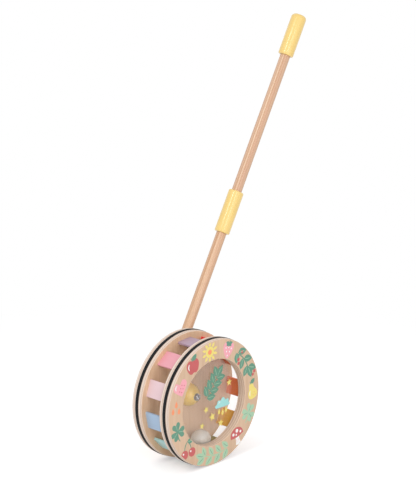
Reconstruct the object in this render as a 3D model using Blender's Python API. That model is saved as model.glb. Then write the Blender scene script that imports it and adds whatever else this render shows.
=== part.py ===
"""Toddler push toy: a rolling drum on a leaning wooden stick.

Two plywood wheels with rubber bands are joined by painted slats. The front wheel is a ring
with a clear window, and a loose ball rolls inside. The drum turns on an axle bolt that is held
by a wooden hub ball, where the stick starts.

Metres, +Z up. The axle runs along Y and the window faces -Y. The origin is on the floor, below
the middle of the drum. The stick leans towards +X.
"""

import math

import bmesh
import bpy
from mathutils import Matrix

# Plywood wheels
WHEEL_RADIUS = 0.075
WHEEL_THICKNESS = 0.015
WHEEL_EDGE_ROUND = 0.0012
RING_WIDTH = 0.0235
HOLE_EDGE_ROUND = 0.0008

# Rubber band round each wheel
TYRE_WIDTH = 0.004
TYRE_THICKNESS = 0.0015
TYRE_PROUD = 0.0004
TYRE_EDGE_ROUND = 0.0003

# Window in the ring's rebate
WINDOW_THICKNESS = 0.003
WINDOW_LAP = 0.0045
WINDOW_RECESS = 0.0009

# Slats between the wheels
SLAT_COUNT = 11
SLAT_WIDTH = 0.0204
SLAT_THICKNESS = 0.003
SLAT_RIM_INSET = 0.0071
SLAT_TENON = 0.0037
SLAT_EDGE_ROUND = 0.0006
FIRST_SLAT_DEGREES = 94.2

# Loose ball
BALL_RADIUS = 0.012
BALL_SIDE_PLAY = 0.0043
BALL_PLACE_DEGREES = 274.2

# Axle, nut and washers
AXLE_RADIUS = 0.0025
AXLE_HEAD_RADIUS = 0.005
AXLE_HEAD_HEIGHT = 0.003
NUT_ACROSS_FLATS = 0.008
NUT_CORNER_TRIM = 0.0001
NUT_HEX_HEIGHT = 0.0018
NUT_DOME_HEIGHT = 0.0015
NUT_DOME_INSET = 0.0004
NUT_WASHER_RADIUS = 0.0048
NUT_WASHER_THICKNESS = 0.0008
NUT_CAP_WALL = 0.0008
HUB_WASHER_RADIUS = 0.008
HUB_WASHER_THICKNESS = 0.0024

# Dome on the rear wheel's inner face
DOME_RADIUS = 0.0135
DOME_SEAT_RADIUS = 0.0052

# Hub ball behind the rear wheel
HUB_RADIUS = 0.0175
HUB_FLAT_RADIUS = 0.006
HUB_WALL_UNDER_STICK = 0.003

# Stick and its fittings, with reaches measured from the axle
STICK_RADIUS = 0.006
STICK_LEAN_DEGREES = 29.1
STICK_END_CHAMFER = 0.0005
SLEEVE_MIDDLE_REACH = 0.2178
SLEEVE_LENGTH = 0.052
SLEEVE_WALL = 0.0028
SLEEVE_EDGE_ROUND = 0.0016
GRIP_TOP_REACH = 0.467
GRIP_LENGTH = 0.052
GRIP_WALL = 0.0029
GRIP_EDGE_ROUND = 0.0016
GRIP_TOP_ROUND = 0.0045
GRIP_CROWN = 0.0008
GRIP_BORE_DEPTH = 0.032

# Clearances
FIT = 0.0003
BALL_PATH_GAP = 0.0003
OVERRUN = 0.004

# Fineness
WHEEL_SEGMENTS = 64
BALL_SEGMENTS = 24
ROD_SEGMENTS = 24
BOLT_SEGMENTS = 24
HEX_SEGMENTS = 6
ROUND_STEPS = 2
GRIP_TOP_STEPS = 4
BALL_STEPS = 10
DOME_STEPS = 6
HEAD_STEPS = 3
SMOOTH_DEGREES = 32

# Heights, widths and places that follow from the sizes above
AXLE_HEIGHT = WHEEL_RADIUS + TYRE_PROUD
AXLE_BORE_RADIUS = AXLE_RADIUS + FIT
STICK_BORE_RADIUS = STICK_RADIUS + FIT
WHEEL_GAP = 2 * BALL_RADIUS + BALL_SIDE_PLAY
INNER_FACE = WHEEL_GAP / 2
OUTER_FACE = INNER_FACE + WHEEL_THICKNESS
HOLE_RADIUS = WHEEL_RADIUS - RING_WIDTH
WINDOW_RADIUS = HOLE_RADIUS + WINDOW_LAP
REBATE_RADIUS = WINDOW_RADIUS + FIT
TYRE_OUTER_RADIUS = WHEEL_RADIUS + TYRE_PROUD
TYRE_INNER_RADIUS = TYRE_OUTER_RADIUS - TYRE_THICKNESS
SLAT_OUTER_DISTANCE = WHEEL_RADIUS - SLAT_RIM_INSET
SLAT_INNER_DISTANCE = SLAT_OUTER_DISTANCE - SLAT_THICKNESS
BALL_ORBIT = SLAT_INNER_DISTANCE - BALL_PATH_GAP - BALL_RADIUS
DOME_SEAT_DISTANCE = math.sqrt(DOME_RADIUS**2 - DOME_SEAT_RADIUS**2)
DOME_BASE = INNER_FACE - FIT
NUT_WASHER_BACK = DOME_BASE - DOME_SEAT_DISTANCE - FIT
NUT_BACK = NUT_WASHER_BACK - NUT_WASHER_THICKNESS - FIT
NUT_FRONT = NUT_BACK - NUT_HEX_HEIGHT - NUT_DOME_HEIGHT
NUT_CORNER_RADIUS = NUT_ACROSS_FLATS / math.sqrt(3)
HUB_FLAT_DISTANCE = math.sqrt(HUB_RADIUS**2 - HUB_FLAT_RADIUS**2)
HUB_WASHER_FRONT = OUTER_FACE + FIT
HUB_CENTRE = HUB_WASHER_FRONT + HUB_WASHER_THICKNESS + FIT + HUB_FLAT_DISTANCE
AXLE_HEAD_FRONT = HUB_CENTRE + HUB_FLAT_DISTANCE + FIT
STICK_SOCKET_FLOOR = AXLE_BORE_RADIUS + HUB_WALL_UNDER_STICK

# Colours are linear red, green and blue
PLY = (0.72, 0.51, 0.35)
BEECH = (0.70, 0.46, 0.30)
YELLOW = (0.93, 0.68, 0.24)
RUBBER = (0.012, 0.012, 0.013)
CLEAR = (0.92, 0.93, 0.92)
STEEL = (0.66, 0.66, 0.67)
NYLON = (0.85, 0.84, 0.80)
OFF_WHITE = (0.80, 0.76, 0.68)
SLAT_COLOURS = (
    ("purple", (0.42, 0.32, 0.39)),
    ("pink", (0.83, 0.36, 0.43)),
    ("pale_pink", (0.78, 0.59, 0.62)),
    ("blue", (0.35, 0.47, 0.63)),
    ("mint", (0.37, 0.55, 0.46)),
    ("green", (0.24, 0.42, 0.24)),
    ("olive", (0.36, 0.38, 0.13)),
    ("ochre", (0.75, 0.42, 0.09)),
    ("orange", (0.79, 0.19, 0.05)),
    ("deep_orange", (0.70, 0.15, 0.05)),
    ("red", (0.80, 0.04, 0.04)),
)


def make_material(name, colour, roughness, metallic=0.0, transmission=0.0):
    """A Principled material in one colour."""
    material = bpy.data.materials.new(name)
    material.use_nodes = True
    shader = material.node_tree.nodes["Principled BSDF"]
    shader.inputs["Base Color"].default_value = (*colour, 1.0)
    shader.inputs["Roughness"].default_value = roughness
    shader.inputs["Metallic"].default_value = metallic
    shader.inputs["Transmission Weight"].default_value = transmission
    return material


def make_frame(name, location, lean=0.0):
    """An empty that carries pieces; lean turns its Z axis towards +X."""
    frame = bpy.data.objects.new(name, None)
    frame.location = location
    frame.rotation_euler = (0.0, lean, 0.0)
    bpy.context.collection.objects.link(frame)
    return frame


def add_piece(name, mesh, frame, material):
    """One named piece of the toy, in the frame's coordinates."""
    piece = bpy.data.objects.new(name, mesh)
    piece.parent = frame
    if material:
        mesh.materials.append(material)
    bpy.context.collection.objects.link(piece)
    return piece


def finish_mesh(name, bm):
    """Turn a bmesh into a mesh that is smooth on its rounds and sharp on its edges."""
    bmesh.ops.recalc_face_normals(bm, faces=bm.faces)
    mesh = bpy.data.meshes.new(name)
    bm.to_mesh(mesh)
    bm.free()
    mesh.shade_smooth()
    mesh.set_sharp_from_angle(angle=math.radians(SMOOTH_DEGREES))
    return mesh


def arc(centre, radius, start_degrees, end_degrees, steps):
    """Points of an arc in the outline's plane, both ends included."""
    points = []
    for step in range(steps + 1):
        turn = math.radians(start_degrees + (end_degrees - start_degrees) * step / steps)
        across = centre[0] + radius * math.cos(turn)
        along = centre[1] + radius * math.sin(turn)
        points.append((across, along))
    return points


def turned(name, outline, axis, segments):
    """Spin a closed outline of (radius, distance along the axis) points about Y or Z."""
    bm = bmesh.new()
    verts = []
    for radius, along in outline:
        place = (radius, along, 0.0) if axis == "Y" else (radius, 0.0, along)
        verts.append(bm.verts.new(place))
    edges = [bm.edges.new((verts[i - 1], verts[i])) for i in range(len(verts))]
    direction = (0.0, 1.0, 0.0) if axis == "Y" else (0.0, 0.0, 1.0)
    bmesh.ops.spin(
        bm,
        geom=verts + edges,
        cent=(0.0, 0.0, 0.0),
        axis=direction,
        angle=2 * math.pi,
        steps=segments,
        use_merge=True,
    )
    return finish_mesh(name, bm)


def solid_turned(name, outline, axis, segments):
    """Spin an open outline that starts and ends on the axis, which closes its two ends."""
    bm = bmesh.new()
    rings = []
    for radius, along in outline:
        count = segments if radius > 0 else 1
        ring = []
        for step in range(count):
            turn = 2 * math.pi * step / segments
            across = radius * math.cos(turn)
            up = radius * math.sin(turn)
            place = (across, along, up) if axis == "Y" else (across, up, along)
            ring.append(bm.verts.new(place))
        rings.append(ring)
    for low, high in zip(rings, rings[1:]):
        for step in range(segments):
            corners = []
            for vert in (low[step % len(low)], low[(step + 1) % len(low)],
                         high[(step + 1) % len(high)], high[step % len(high)]):
                if vert not in corners:
                    corners.append(vert)
            if len(corners) > 2:
                bm.faces.new(corners)
    return finish_mesh(name, bm)


def block(name, low, high):
    """A box between two opposite corners."""
    bm = bmesh.new()
    bmesh.ops.create_cube(bm, size=1.0)
    for vert in bm.verts:
        for k in range(3):
            vert.co[k] = high[k] if vert.co[k] > 0 else low[k]
    return finish_mesh(name, bm)


def as_cutter(piece):
    """Keep a solid only as a cutting tool."""
    piece.hide_render = True
    piece.display_type = "WIRE"
    return piece


def cut(piece, cutter):
    """Cut one solid out of a piece."""
    modifier = piece.modifiers.new("cut_" + cutter.name, "BOOLEAN")
    modifier.operation = "DIFFERENCE"
    modifier.solver = "EXACT"
    modifier.object = cutter


def keep_within(piece, limit):
    """Keep only what a piece shares with another solid."""
    modifier = piece.modifiers.new("within_" + limit.name, "BOOLEAN")
    modifier.operation = "INTERSECT"
    modifier.solver = "EXACT"
    modifier.object = limit


def rim_outline(inner, outer):
    """Rim of a wheel between two faces along the axle, from its inner to its outer face."""
    middle = (inner + outer) / 2
    half_groove = TYRE_WIDTH / 2 + FIT
    side = math.copysign(1.0, outer - inner)
    floor = TYRE_INNER_RADIUS - FIT
    shoulder = WHEEL_RADIUS - WHEEL_EDGE_ROUND
    points = arc((shoulder, inner + side * WHEEL_EDGE_ROUND), WHEEL_EDGE_ROUND,
                 -90 * side, 0, ROUND_STEPS)
    points += [
        (WHEEL_RADIUS, middle - side * half_groove),
        (floor, middle - side * half_groove),
        (floor, middle + side * half_groove),
        (WHEEL_RADIUS, middle + side * half_groove),
    ]
    points += arc((shoulder, outer - side * WHEEL_EDGE_ROUND), WHEEL_EDGE_ROUND,
                  0, 90 * side, ROUND_STEPS)
    return points


def add_slot_cutter(frame):
    """Eleven boxes that cut the slots for the slats' tenons in both wheels."""
    reach = INNER_FACE + SLAT_TENON + FIT
    low = (SLAT_INNER_DISTANCE - FIT, -reach, -SLAT_WIDTH / 2 - FIT)
    high = (SLAT_OUTER_DISTANCE + FIT, reach, SLAT_WIDTH / 2 + FIT)
    bm = bmesh.new()
    for turn in slat_turns():
        box = bmesh.ops.create_cube(bm, size=1.0)["verts"]
        for vert in box:
            for k in range(3):
                vert.co[k] = high[k] if vert.co[k] > 0 else low[k]
        bmesh.ops.rotate(bm, verts=box, cent=(0.0, 0.0, 0.0), matrix=turn_about_axle(turn))
    return as_cutter(add_piece("slot_cutter", finish_mesh("slot_cutter", bm), frame, None))


def turn_about_axle(turn):
    """Turn from +X towards +Z."""
    return Matrix.Rotation(-turn, 3, "Y")


def slat_turns():
    """Angles of the slats round the axle, from +X towards +Z."""
    first = math.radians(FIRST_SLAT_DEGREES)
    return [first + 2 * math.pi * k / SLAT_COUNT for k in range(SLAT_COUNT)]


def add_rear_disc(frame, slots, ply):
    """Solid wheel with the axle's bore and a groove for its rubber band."""
    outline = [(AXLE_BORE_RADIUS, INNER_FACE)]
    outline += rim_outline(INNER_FACE, OUTER_FACE)
    outline.append((AXLE_BORE_RADIUS, OUTER_FACE))
    disc = add_piece("rear_disc", turned("rear_disc", outline, "Y", WHEEL_SEGMENTS), frame, ply)
    cut(disc, slots)


def add_front_ring(frame, slots, ply):
    """Wheel with the window's hole, and a rebate behind it that seats the window."""
    step = -INNER_FACE - WINDOW_RECESS - WINDOW_THICKNESS - FIT
    outline = [(REBATE_RADIUS, -INNER_FACE)]
    outline += rim_outline(-INNER_FACE, -OUTER_FACE)
    outline += arc((HOLE_RADIUS + HOLE_EDGE_ROUND, HOLE_EDGE_ROUND - OUTER_FACE),
                   HOLE_EDGE_ROUND, -90, -180, ROUND_STEPS)
    outline += [(HOLE_RADIUS, step), (REBATE_RADIUS, step)]
    ring = add_piece("front_ring", turned("front_ring", outline, "Y", WHEEL_SEGMENTS), frame, ply)
    cut(ring, slots)


def add_tyre(name, frame, middle, rubber):
    """Rubber band that stands slightly proud of its wheel."""
    half = TYRE_WIDTH / 2
    shoulder = TYRE_OUTER_RADIUS - TYRE_EDGE_ROUND
    outline = [(TYRE_INNER_RADIUS, middle - half)]
    outline += arc((shoulder, middle - half + TYRE_EDGE_ROUND), TYRE_EDGE_ROUND, -90, 0, 1)
    outline += arc((shoulder, middle + half - TYRE_EDGE_ROUND), TYRE_EDGE_ROUND, 0, 90, 1)
    outline.append((TYRE_INNER_RADIUS, middle + half))
    add_piece(name, turned(name, outline, "Y", WHEEL_SEGMENTS), frame, rubber)


def add_window(frame, clear):
    """Clear round sheet in the ring's rebate."""
    back = -INNER_FACE - WINDOW_RECESS
    front = back - WINDOW_THICKNESS
    outline = [(0.0, back), (WINDOW_RADIUS, back), (WINDOW_RADIUS, front), (0.0, front)]
    add_piece("window", solid_turned("window", outline, "Y", WHEEL_SEGMENTS), frame, clear)


def add_slats(frame):
    """Painted slats whose ends sit in both wheels' slots."""
    reach = INNER_FACE + SLAT_TENON
    low = (SLAT_INNER_DISTANCE, -reach, -SLAT_WIDTH / 2)
    high = (SLAT_OUTER_DISTANCE, reach, SLAT_WIDTH / 2)
    for (colour_name, colour), turn in zip(SLAT_COLOURS, slat_turns()):
        name = "slat_" + colour_name
        slat = add_piece(name, block(name, low, high), frame, make_material(name, colour, 0.45))
        slat.rotation_euler = (0.0, -turn, 0.0)
        bevel = slat.modifiers.new("edge_round", "BEVEL")
        bevel.width = SLAT_EDGE_ROUND
        bevel.segments = 1


def add_hub_dome(frame, yellow):
    """Half ball glued round the axle on the rear wheel, cut flat where the nut seats."""
    seat_degrees = -90 + math.degrees(math.asin(DOME_SEAT_RADIUS / DOME_RADIUS))
    outline = [(AXLE_BORE_RADIUS, DOME_BASE)]
    outline += arc((0.0, DOME_BASE), DOME_RADIUS, 0, seat_degrees, DOME_STEPS)
    outline.append((AXLE_BORE_RADIUS, DOME_BASE - DOME_SEAT_DISTANCE))
    add_piece("hub_dome", turned("hub_dome", outline, "Y", BALL_SEGMENTS), frame, yellow)


def add_rattle_ball(off_white):
    """Loose ball low in the drum against the front ring, clear of the slats all the way round."""
    inside_rebate = max(0.0, REBATE_RADIUS - BALL_ORBIT)
    centre = math.sqrt((BALL_RADIUS + FIT) ** 2 - inside_rebate**2) - INNER_FACE
    turn = math.radians(BALL_PLACE_DEGREES)
    across = BALL_ORBIT * math.cos(turn)
    up = BALL_ORBIT * math.sin(turn)
    frame = make_frame("ball_roll", (0.0, 0.0, AXLE_HEIGHT))
    bm = bmesh.new()
    bmesh.ops.create_uvsphere(bm, u_segments=BALL_SEGMENTS, v_segments=BALL_STEPS,
                              radius=BALL_RADIUS)
    bmesh.ops.translate(bm, verts=bm.verts, vec=(across, centre, up))
    add_piece("rattle_ball", finish_mesh("rattle_ball", bm), frame, off_white)


def add_drum(ply, rubber, clear, yellow):
    """Everything that turns with the wheels."""
    frame = make_frame("drum_spin", (0.0, 0.0, AXLE_HEIGHT))
    slots = add_slot_cutter(frame)
    wheel_middle = (INNER_FACE + OUTER_FACE) / 2
    add_rear_disc(frame, slots, ply)
    add_tyre("rear_tyre", frame, wheel_middle, rubber)
    add_front_ring(frame, slots, ply)
    add_tyre("front_tyre", frame, -wheel_middle, rubber)
    add_window(frame, clear)
    add_slats(frame)
    add_hub_dome(frame, yellow)


def washer(name, radius, thickness, front, frame, material):
    """Flat washer on the axle."""
    outline = [(AXLE_BORE_RADIUS, front), (radius, front), (radius, front + thickness),
               (AXLE_BORE_RADIUS, front + thickness)]
    add_piece(name, turned(name, outline, "Y", BOLT_SEGMENTS), frame, material)


def add_axle_bolt(frame, steel):
    """Axle with a low domed head behind the hub ball; its front end is inside the cap nut."""
    tip = NUT_FRONT + NUT_CAP_WALL + FIT
    crown = (AXLE_HEAD_RADIUS**2 + AXLE_HEAD_HEIGHT**2) / (2 * AXLE_HEAD_HEIGHT)
    spread = math.degrees(math.asin(AXLE_HEAD_RADIUS / crown))
    centre = AXLE_HEAD_FRONT + AXLE_HEAD_HEIGHT - crown
    outline = [(0.0, tip), (AXLE_RADIUS, tip), (AXLE_RADIUS, AXLE_HEAD_FRONT)]
    outline += arc((0.0, centre), crown, 90 - spread, 90, HEAD_STEPS)[:-1]
    outline.append((0.0, AXLE_HEAD_FRONT + AXLE_HEAD_HEIGHT))
    add_piece("axle_bolt", solid_turned("axle_bolt", outline, "Y", BOLT_SEGMENTS), frame, steel)


def add_cap_nut(frame, steel):
    """Hexagon nut with a closed domed cap over the end of the axle."""
    corner = NUT_CORNER_RADIUS - NUT_CORNER_TRIM
    dome_base = NUT_BACK - NUT_HEX_HEIGHT
    dome_radius = NUT_ACROSS_FLATS / 2 - NUT_DOME_INSET
    outline = [(0.0, NUT_FRONT + NUT_CAP_WALL), (AXLE_BORE_RADIUS, NUT_FRONT + NUT_CAP_WALL),
               (AXLE_BORE_RADIUS, NUT_BACK), (corner, NUT_BACK), (corner, dome_base)]
    for across, along in arc((0.0, 0.0), 1.0, 0, 90, HEAD_STEPS)[:-1]:
        outline.append((dome_radius * across, dome_base - NUT_DOME_HEIGHT * along))
    outline.append((0.0, NUT_FRONT))
    nut = add_piece("cap_nut", solid_turned("cap_nut", outline, "Y", BOLT_SEGMENTS), frame, steel)
    bar = [(0.0, NUT_FRONT - OVERRUN), (NUT_CORNER_RADIUS, NUT_FRONT - OVERRUN),
           (NUT_CORNER_RADIUS, NUT_BACK + OVERRUN), (0.0, NUT_BACK + OVERRUN)]
    mesh = solid_turned("hexagon_bar", bar, "Y", HEX_SEGMENTS)
    keep_within(nut, as_cutter(add_piece("hexagon_bar", mesh, frame, None)))


def add_stick_hub(frame, stick_frame, yellow):
    """Ball with the axle's bore through it and a socket for the stick."""
    flat_degrees = math.degrees(math.acos(HUB_FLAT_RADIUS / HUB_RADIUS))
    outline = [(AXLE_BORE_RADIUS, HUB_CENTRE - HUB_FLAT_DISTANCE)]
    outline += arc((0.0, HUB_CENTRE), HUB_RADIUS, -flat_degrees, flat_degrees, BALL_STEPS)
    outline.append((AXLE_BORE_RADIUS, HUB_CENTRE + HUB_FLAT_DISTANCE))
    hub = add_piece("stick_hub", turned("stick_hub", outline, "Y", BALL_SEGMENTS), frame, yellow)
    bore = [(0.0, STICK_SOCKET_FLOOR), (STICK_BORE_RADIUS, STICK_SOCKET_FLOOR),
            (STICK_BORE_RADIUS, HUB_RADIUS + OVERRUN), (0.0, HUB_RADIUS + OVERRUN)]
    mesh = solid_turned("socket_cutter", bore, "Z", ROD_SEGMENTS)
    cut(hub, as_cutter(add_piece("socket_cutter", mesh, stick_frame, None)))


def add_stick(name, low, high, frame, beech):
    """Dowel with lightly broken ends."""
    shoulder = STICK_RADIUS - STICK_END_CHAMFER
    outline = [(0.0, low), (shoulder, low), (STICK_RADIUS, low + STICK_END_CHAMFER),
               (STICK_RADIUS, high - STICK_END_CHAMFER), (shoulder, high), (0.0, high)]
    add_piece(name, solid_turned(name, outline, "Z", ROD_SEGMENTS), frame, beech)


def add_sleeve(frame, yellow):
    """Turned tube over the joint of the two dowels."""
    low = SLEEVE_MIDDLE_REACH - SLEEVE_LENGTH / 2
    high = low + SLEEVE_LENGTH
    outer = STICK_BORE_RADIUS + SLEEVE_WALL
    shoulder = outer - SLEEVE_EDGE_ROUND
    outline = [(STICK_BORE_RADIUS, low)]
    outline += arc((shoulder, low + SLEEVE_EDGE_ROUND), SLEEVE_EDGE_ROUND, -90, 0, ROUND_STEPS)
    outline += arc((shoulder, high - SLEEVE_EDGE_ROUND), SLEEVE_EDGE_ROUND, 0, 90, ROUND_STEPS)
    outline.append((STICK_BORE_RADIUS, high))
    add_piece("sleeve", turned("sleeve", outline, "Z", ROD_SEGMENTS), frame, yellow)


def add_grip(frame, yellow):
    """Turned end piece with a rounded top and a blind bore."""
    low = GRIP_TOP_REACH - GRIP_LENGTH
    bore_end = low + GRIP_BORE_DEPTH
    outer = STICK_BORE_RADIUS + GRIP_WALL
    shoulder = outer - GRIP_TOP_ROUND
    foot = outer - GRIP_EDGE_ROUND
    round_centre = GRIP_TOP_REACH - GRIP_CROWN - GRIP_TOP_ROUND
    outline = [(0.0, bore_end), (STICK_BORE_RADIUS, bore_end), (STICK_BORE_RADIUS, low)]
    outline += arc((foot, low + GRIP_EDGE_ROUND), GRIP_EDGE_ROUND, -90, 0, ROUND_STEPS)
    outline += arc((shoulder, round_centre), GRIP_TOP_ROUND, 0, 90, GRIP_TOP_STEPS)
    outline.append((0.0, GRIP_TOP_REACH))
    add_piece("grip", solid_turned("grip", outline, "Z", ROD_SEGMENTS), frame, yellow)


def add_handle(beech, yellow, steel, nylon):
    """Everything that the child holds: stick, hub ball and axle."""
    axle_frame = make_frame("axle_line", (0.0, 0.0, AXLE_HEIGHT))
    stick_frame = make_frame("stick_line", (0.0, HUB_CENTRE, AXLE_HEIGHT),
                             math.radians(STICK_LEAN_DEGREES))
    add_axle_bolt(axle_frame, steel)
    add_cap_nut(axle_frame, steel)
    washer("nut_washer", NUT_WASHER_RADIUS, NUT_WASHER_THICKNESS,
           NUT_WASHER_BACK - NUT_WASHER_THICKNESS, axle_frame, steel)
    washer("hub_washer", HUB_WASHER_RADIUS, HUB_WASHER_THICKNESS, HUB_WASHER_FRONT,
           axle_frame, nylon)
    add_stick_hub(axle_frame, stick_frame, yellow)
    grip_bore_end = GRIP_TOP_REACH - GRIP_LENGTH + GRIP_BORE_DEPTH
    add_stick("lower_stick", STICK_SOCKET_FLOOR + FIT, SLEEVE_MIDDLE_REACH - FIT / 2,
              stick_frame, beech)
    add_stick("upper_stick", SLEEVE_MIDDLE_REACH + FIT / 2, grip_bore_end - FIT,
              stick_frame, beech)
    add_sleeve(stick_frame, yellow)
    add_grip(stick_frame, yellow)


def main():
    """Build the whole toy."""
    for old in list(bpy.data.objects):
        bpy.data.objects.remove(old)
    ply = make_material("plywood", PLY, 0.5)
    beech = make_material("beech", BEECH, 0.5)
    yellow = make_material("yellow_lacquer", YELLOW, 0.3)
    rubber = make_material("rubber", RUBBER, 0.6)
    clear = make_material("clear_sheet", CLEAR, 0.05, transmission=0.9)
    steel = make_material("plated_steel", STEEL, 0.2, metallic=1.0)
    nylon = make_material("nylon", NYLON, 0.45)
    off_white = make_material("off_white_paint", OFF_WHITE, 0.4)
    add_drum(ply, rubber, clear, yellow)
    add_rattle_ball(off_white)
    add_handle(beech, yellow, steel, nylon)


main()
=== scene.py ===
"""Looks of a toddler's push toy: a drum of two plywood wheels and painted slats, on a leaning stick.

All places are in the frame of the CAD model: +Z is up, the axle lies along Y, the window faces
-Y, and the stick leans towards +X. Sizes are written in millimetres, and MM turns them to metres.
Only the studio's sizes are in metres.
"""

import math

import bpy
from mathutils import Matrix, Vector


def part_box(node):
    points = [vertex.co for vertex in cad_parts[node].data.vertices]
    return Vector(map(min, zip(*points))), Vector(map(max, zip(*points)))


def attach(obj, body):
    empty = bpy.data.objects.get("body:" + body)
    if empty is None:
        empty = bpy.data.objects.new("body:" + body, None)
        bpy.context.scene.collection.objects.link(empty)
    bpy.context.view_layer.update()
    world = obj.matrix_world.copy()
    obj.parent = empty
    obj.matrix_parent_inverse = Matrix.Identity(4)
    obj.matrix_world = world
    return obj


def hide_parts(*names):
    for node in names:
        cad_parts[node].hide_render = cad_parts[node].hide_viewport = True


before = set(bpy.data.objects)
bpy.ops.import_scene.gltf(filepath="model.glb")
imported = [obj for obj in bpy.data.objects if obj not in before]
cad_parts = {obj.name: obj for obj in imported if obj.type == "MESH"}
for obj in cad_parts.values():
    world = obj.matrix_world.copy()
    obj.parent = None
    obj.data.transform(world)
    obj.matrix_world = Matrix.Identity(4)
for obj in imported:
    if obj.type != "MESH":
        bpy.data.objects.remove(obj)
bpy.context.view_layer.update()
MM = 0.001

# Wheels and bands, after the solids; depths are counted from the drum's middle to the front
AXLE_HEIGHT = 75.4
AXLE_BORE = 2.8
WHEEL_RADIUS = 75.0
HOLE_RADIUS = 51.5
REBATE_RADIUS = 56.3
REBATE_DEPTH = 18.35
WINDOW_FRONT = 18.05
INNER_FACE = 14.15
OUTER_FACE = 29.15
INK_ROOM = 0.1
PRINTED_FACE = OUTER_FACE - INK_ROOM
WHEEL_EDGE_ROUND = 1.2
HOLE_EDGE_ROUND = 0.8
GROOVE_MIDDLE = 21.65
GROOVE_HALF_WIDTH = 2.3
GROOVE_FLOOR = 73.6
GROOVE_EDGE_ROUND = 0.2
BAND_HALF_WIDTH = 2.3
BAND_OUTER = 75.4
BAND_INNER = 73.9
BAND_EDGE_ROUND = 0.5
# How nearly a flat side's normal has to lie along the axle
FLAT_NORMAL = 0.75

SLAT_OUTER = 67.9
SLAT_INNER = 64.9
SLAT_WIDTH = 20.4
SLAT_REACH = 17.85
SLAT_EDGE_ROUND = 0.7
FIRST_SLAT_DEGREES = 94.2

DOME_RADIUS = 13.5
DOME_SEAT_RADIUS = 5.2
DOME_BASE = -13.85
DOME_SEAT = -1.39
DOME_EDGE_ROUND = 0.4
DOME_STEPS = 16

# Washers: inner and outer radius, back and front, and how far the outer edges are rounded
NUT_WASHER = (2.7, 4.3, -1.09, -0.29, 0.2)
HUB_WASHER = (AXLE_BORE, 8.0, -31.85, -29.45, 0.4)

NUT_ACROSS_FLATS = 7.2
NUT_CORNER_TRIM = 0.1
NUT_HEIGHT = 1.8
NUT_MIDDLE = 0.91
NUT_EDGE_ROUND = 0.35
NUT_INSET = 0.5
NUT_CROWN = ((0.0, 1.6), (3.2, 1.6), (3.0, 2.4), (2.2, 3.0), (1.1, 3.26), (0.0, 3.31))
NUT_SMOOTH_DEGREES = 50

# Round head of the axle: radius, and distance from its back
AXLE_HEAD = ((0.0, 0.0), (2.6, 0.35), (4.3, 1.3), (5.0, 2.6), (5.0, 3.0), (2.5, 3.0))
AXLE_RADIUS = 2.5
HUB_RADIUS = 17.5
HUB_FLAT_RADIUS = 6.0
HUB_STEPS = 40

BALL_CUTS = 23
BALL_SMOOTH_DEGREES = 60

# Stick: both ends of a piece are measured along it, from the axle's height
LEAN_DEGREES = 29.1
STICK_SIDE = 48.59
STICK_RADIUS = 6.0
STICK_CHAMFER = 0.5
LOWER_STICK = (6.1, 217.65)
UPPER_STICK = (217.95, 446.7)
SLEEVE = (191.8, 243.8)
SLEEVE_RADIUS = 9.1
SLEEVE_EDGE_ROUND = 1.6
SLEEVE_BORE = 6.3
GRIP = (415.0, 466.75)
GRIP_RADIUS = 9.15
GRIP_TOP_ROUND = 4.5
GRIP_CROWN = 0.8
GRIP_BORE_DEPTH = 32.0

# Print: a film of ink, and a hair between outlines that overlap before they are made one
INK_THICKNESS = 0.03
INK_STEP = 0.001
PRINT_AREA_MARGIN = 0.5
WINDOW_PRINT_RADIUS = HOLE_RADIUS - 1.0
RING_MIDDLE = (WHEEL_RADIUS + HOLE_RADIUS) / 2
# Half the width of a brush stroke
BROAD_BRUSH = 0.7
STEM_BRUSH = 0.62
SHINE_BRUSH = 0.5
LINE_BRUSH = 0.34
VEIN_BRUSH = 0.3
# Share of its width that a stroke keeps at its ends
STROKE_END = 0.55

# How many faces go round a turned piece
WHEEL_STEPS = 160
LACQUER_STEPS = 96
ROD_STEPS = 72
SMALL_STEPS = 64
# Faces across a rounded edge, and parts of a print's curve from one of its points to the next
ROUND_STEPS = 5
CURVE_STEPS = 6
SMOOTH_DEGREES = 40
# Vertices nearer than this, in metres, are one
SAME_PLACE = 1e-7

# Studio, in metres: lamps by name, place, width and height, and power in watts
FLOOR_SIZE = 12.0
FLOOR_PAPER = 0.82
FLOOR_GLOW = 0.39
FLOOR_FADE = (0.20, 0.60)
WORLD_LIGHT = 0.75
LAMPS = (
    ("left_strip", (-1.51, -0.17, 1.64), (0.30, 0.80), 8.5),
    ("front_strip", (-0.85, -1.63, 1.20), (0.24, 1.00), 4.0),
    ("front_panel", (-0.65, -1.98, 0.82), (2.00, 1.50), 8.5),
)
LAMP_AIM = (0.0, 0.0, 0.15)
CAMERA_PLACE = (-2.03008, -1.95557, 1.07666)
CAMERA_TURN_DEGREES = (73.8926, -0.07942, -46.3192)
CAMERA_LENS = 194.196


def linear(colour):
    """Linear red, green, blue and 1 from an sRGB hex colour such as 'DEBEA0'."""
    channels = []
    for start in (0, 2, 4):
        value = int(colour[start:start + 2], 16) / 255
        channels.append(value / 12.92 if value <= 0.04045 else ((value + 0.055) / 1.055) ** 2.4)
    return (*channels, 1.0)


def grey(value):
    """A grey of this brightness."""
    return (value, value, value, 1.0)


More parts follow.
